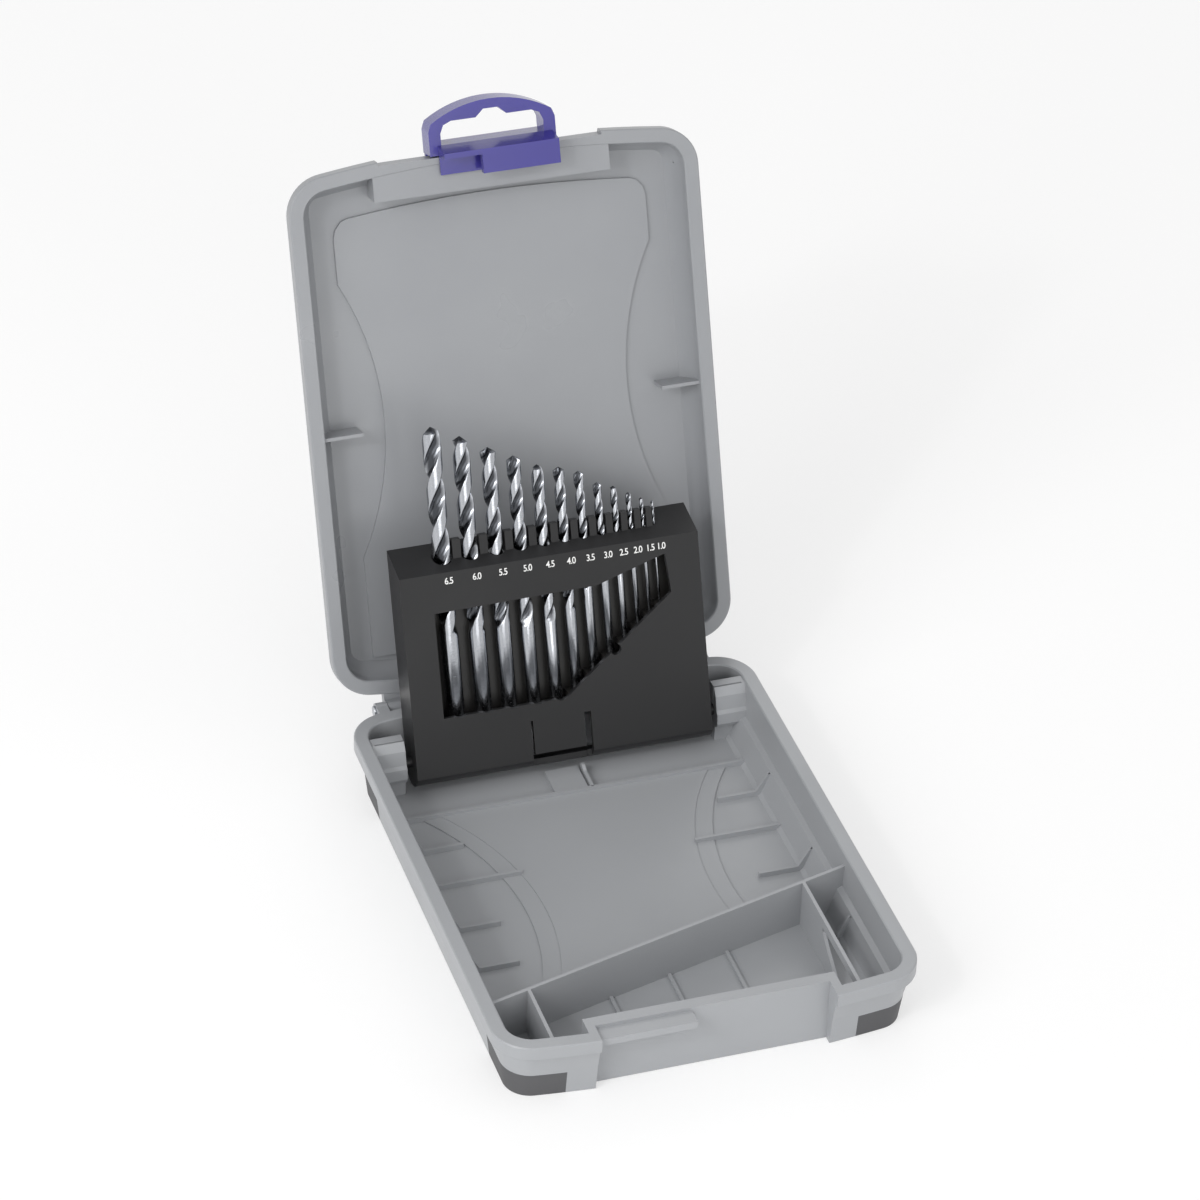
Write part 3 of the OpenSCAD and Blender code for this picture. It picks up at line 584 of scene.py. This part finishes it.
@dataclass
class TwistDrill:
    """A twist drill: plain shank, two flutes that run out, a ground point."""

    diameter: float
    length: float
    shank: float
    sides: int = 40
    flute_half: float = 48.0
    web: float = 0.36
    pitch: float = 5.4
    ring_turn: float = 11.0
    run_out: float = 1.3
    point: float = 0.3
    ring_reach: float = 0.3
    smooth: float = 38.0
    point_end: float = 0.05
    chamfer: float = 0.12
    chamfer_end: float = 0.84

    def pick(self, mesh: bmesh.types.BMesh, low: float, high: float, side: int | None = None) -> None:
        """Selects the points between two heights, all round or in one flute.

        Args:
            mesh: the drill's edit mesh.
            low: lowest height in millimetres.
            high: highest height in millimetres.
            side: 1 or -1 for one flute, None for all round.
        """
        chord = math.cos(math.radians(self.flute_half)) * self.diameter / 2
        mesh.select_mode = {"VERT"}
        for vert in mesh.verts:
            x, z = vert.co.x / MM, vert.co.z / MM
            vert.select_set(low < z < high and (side is None or x * side > chord))
        mesh.select_flush_mode()

    def cut_flutes(self, piece: bpy.types.Object, rings: list[float]) -> None:
        """Turns the round of each ring inside out within the flutes.

        Args:
            piece: the straight blank, in edit mode.
            rings: the heights of its rings in millimetres.
        """
        r = self.diameter / 2
        chord = math.cos(math.radians(self.flute_half)) * r
        depth = (chord - self.web * r) / (r - chord)
        near = (rings[1] - rings[0]) * self.ring_reach
        span = self.run_out * self.diameter
        first = next(i for i, z in enumerate(rings) if z - rings[0] >= span)
        bands = [(z - near, z + near, (z - rings[0]) / span) for z in rings[1:first]]
        bands.append((rings[first] - near, rings[-1] + near, 1.0))
        for low, high, share in bands:
            eased = math.sin(share * math.pi / 2)
            for side in (1, -1):
                mesh = bmesh.from_edit_mesh(piece.data)
                self.pick(mesh, low, high, side)
                bmesh.update_edit_mesh(piece.data)
                bpy.ops.transform.resize(value=(1 - (1 + depth) * eased, 1, 1),
                                         center_override=(side * chord * MM, 0, 0))

    def build(self, shop: Workshop, place: Matrix) -> None:
        """Grinds the drill from a blank and stands it in the holder.

        Args:
            shop: the workshop that holds the frame.
            place: the drill's frame in the row frame.
        """
        r = self.diameter / 2
        tip = self.point * self.diameter
        flute = self.length - self.shank - tip
        turn = flute / (self.pitch * self.diameter) * 360
        count = math.ceil(turn / self.ring_turn)
        bpy.ops.mesh.primitive_cylinder_add(vertices=self.sides, radius=r * MM, depth=flute * MM,
                                            location=(0, 0, (self.shank + flute / 2) * MM))
        piece = bpy.context.object
        name = f"drill_{self.diameter:.1f}".replace(".", "_")
        piece.name = f"{name}_ground"
        bpy.ops.object.transform_apply(location=True)
        bpy.ops.object.mode_set(mode="EDIT")
        mesh = bmesh.from_edit_mesh(piece.data)
        mesh.select_mode = {"EDGE"}
        # only the edges along the blank, which are longer than a millimetre
        for edge in mesh.edges:
            edge.select_set(abs(edge.verts[0].co.z - edge.verts[1].co.z) > MM)
        bmesh.update_edit_mesh(piece.data)
        bpy.ops.mesh.subdivide(number_cuts=count - 1)
        self.cut_flutes(piece, [self.shank + flute * i / count for i in range(count + 1)])
        bpy.ops.object.mode_set(mode="OBJECT")
        twist = piece.modifiers.new("helix", "SIMPLE_DEFORM")
        twist.deform_method = "TWIST"
        twist.deform_axis = "Z"
        twist.angle = math.radians(turn)
        alone(piece)
        bpy.ops.object.modifier_apply(modifier=twist.name)
        bpy.ops.object.mode_set(mode="EDIT")
        # the shank and its chamfer grow down from the first ring, the point up from the last
        chamfer = self.chamfer * self.diameter
        shank_steps = ((self.shank - chamfer, 1.0), (chamfer, self.chamfer_end))
        for sign, steps in ((-1, shank_steps), (1, ((tip, self.point_end),))):
            mesh = bmesh.from_edit_mesh(piece.data)
            mesh.select_mode = {"FACE"}
            for face in mesh.faces:
                face.select_set(face.normal.z * sign > END_FACING and len(face.verts) > 4)
            bmesh.update_edit_mesh(piece.data)
            for rise, scale in steps:
                bpy.ops.mesh.extrude_region_move(
                    TRANSFORM_OT_translate={"value": (0, 0, sign * rise * MM)})
                bpy.ops.transform.resize(value=(scale, scale, 1), center_override=(0, 0, 0))
        bpy.ops.mesh.select_all(action="SELECT")
        bpy.ops.mesh.normals_make_consistent(inside=False)
        bpy.ops.object.mode_set(mode="OBJECT")
        # how deep each point lies in the flutes, for the finish's painted shade in the hollows
        depth = piece.data.attributes.new("flute_depth", "FLOAT", "POINT")
        for vert, value in zip(piece.data.vertices, depth.data):
            fluted = vert.co.z > self.shank * MM
            value.value = max(0.0, 1 - vert.co.xy.length / (r * MM)) if fluted else 0.0
        settle(piece, place, smooth=self.smooth)
        shop.finish(piece, "holder", Finish.DRILL, "drill_steel")
        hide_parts(name)


# ---------------------------------------------------------------- studio


@dataclass(frozen=True)
class Lamp:
    """A square soft lamp: its place and side in metres, its power in watts."""

    name: str
    at: tuple[float, float, float]
    size: float
    power: float


LAMPS = (
    Lamp("key", (-1.5, -0.8, 1.1), 1.1, 16.0),
    Lamp("front", (-0.1, -1.7, 0.7), 1.2, 8.0),
    Lamp("fill", (1.3, -0.4, 1.4), 1.2, 2.5),
    Lamp("rim", (0.3, 1.6, 1.3), 1.0, 3.0),
    # a small bright lamp draws the thin lines of light along the round edges
    Lamp("spark", (-1.2, -0.8, 1.3), 0.14, 3.0),
)
# the point that every lamp faces
LAMP_AIM = (0, 0.03, 0.05)


@dataclass
class Studio:
    """A white floor and soft lamps, seen from the photograph's angle."""

    eye: tuple[float, float, float] = (-0.4737, -1.31475, 1.1370)
    azimuth: float = 19.298
    down: float = 35.931
    roll: float = 2.093
    lens: float = 159.41
    floor_tone: str = "ffffff"
    floor_white: float = 0.5
    floor_rough: float = 0.9
    floor_side: float = 8.0
    floor_under: float = 0.0002
    sky_light: float = 0.6
    sensor: float = 36.0
    far: float = 20.0

    def camera(self) -> None:
        """Places the camera at the photograph's viewing angle."""
        az, el, roll = (math.radians(a) for a in (self.azimuth, self.down, self.roll))
        look = Vector((math.sin(az) * math.cos(el), math.cos(az) * math.cos(el), -math.sin(el)))
        right = look.cross(Vector((0, 0, 1))).normalized()
        up = right.cross(look)
        right, up = (math.cos(roll) * right + math.sin(roll) * up,
                     -math.sin(roll) * right + math.cos(roll) * up)
        data = bpy.data.cameras.new("view")
        data.lens = self.lens
        data.sensor_width = self.sensor
        data.clip_end = self.far
        camera = bpy.data.objects.new("view", data)
        turn = Matrix((right, up, -look)).transposed().to_4x4()
        camera.matrix_world = Matrix.Translation(self.eye) @ turn
        bpy.context.scene.collection.objects.link(camera)
        bpy.context.scene.camera = camera

    @staticmethod
    def hang(lamp: Lamp) -> None:
        """Hangs a lamp so that it faces the case.

        Args:
            lamp: the lamp to hang.
        """
        data = bpy.data.lights.new(lamp.name, "AREA")
        data.shape = "SQUARE"
        data.size = lamp.size
        data.energy = lamp.power
        hung = bpy.data.objects.new(lamp.name, data)
        hung.location = lamp.at
        aim = Vector(LAMP_AIM) - Vector(lamp.at)
        hung.rotation_euler = aim.to_track_quat("-Z", "Y").to_euler()
        bpy.context.scene.collection.objects.link(hung)

    def floor(self) -> None:
        """Lays the pale floor, white to the camera and the mirrors."""
        bpy.ops.mesh.primitive_plane_add(size=self.floor_side, location=(0, 0, -self.floor_under))
        piece = bpy.context.object
        piece.name = "studio_floor"
        made = bpy.data.materials.new("paper_sweep_white")
        made.use_nodes = True
        tree = made.node_tree
        shader = tree.nodes["Principled BSDF"]
        shader.inputs[Bsdf.COLOUR.value].default_value = linear(self.floor_tone)
        shader.inputs[Bsdf.ROUGHNESS.value].default_value = self.floor_rough
        # lit paper for the object, mostly plain white for the eye, so that only soft shadows show
        glow = add_node(tree, "ShaderNodeEmission", {"Strength": 1.0}, {})
        share = add_node(tree, "ShaderNodeMath", {"operation": "MULTIPLY", 1: self.floor_white},
                         {0: self.seen(tree)})
        mixed = add_node(tree, "ShaderNodeMixShader", {},
                         {0: share.outputs[0], 1: shader.outputs[0], 2: glow.outputs[0]})
        tree.links.new(mixed.outputs[0], tree.nodes["Material Output"].inputs["Surface"])
        piece.data.materials.append(made)

    @staticmethod
    def seen(tree: bpy.types.NodeTree) -> bpy.types.NodeSocket:
        """Tells the rays that look at the background from those that light.

        Args:
            tree: the node tree to add to.

        Returns:
            A socket that is 1 for camera, mirror and see-through rays.
        """
        path = add_node(tree, "ShaderNodeLightPath", {}, {})
        direct = add_node(tree, "ShaderNodeMath", {"operation": "MAXIMUM"},
                          {0: path.outputs["Is Camera Ray"], 1: path.outputs["Is Glossy Ray"]})
        return add_node(tree, "ShaderNodeMath", {"operation": "MAXIMUM"},
                        {0: direct.outputs[0], 1: path.outputs["Is Transmission Ray"]}).outputs[0]

    def sky(self) -> None:
        """Fills the world: white to the camera, dimmer as a light."""
        world = bpy.data.worlds.new("studio_sky")
        bpy.context.scene.world = world
        world.use_nodes = True
        tree = world.node_tree
        level = add_node(tree, "ShaderNodeMapRange", {"To Min": self.sky_light, "To Max": 1.0},
                         {"Value": self.seen(tree)})
        shade = tree.nodes["Background"]
        shade.inputs["Color"].default_value = (1.0, 1.0, 1.0, 1.0)
        tree.links.new(level.outputs["Result"], shade.inputs["Strength"])

    def build(self) -> None:
        """Sets up the camera, the floor, the lamps and the sky."""
        self.camera()
        self.floor()
        for lamp in LAMPS:
            self.hang(lamp)
        self.sky()
        bpy.context.scene.view_settings.view_transform = "Standard"


def main() -> None:
    """Builds the dressed case and its studio."""
    logging.basicConfig(level=logging.INFO, format="%(name)s: %(message)s")
    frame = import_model()
    shop = Workshop(frame)
    Studio().build()
    Case().build(shop)
    Holder().build(shop)


if __name__ == "__main__":
    main()
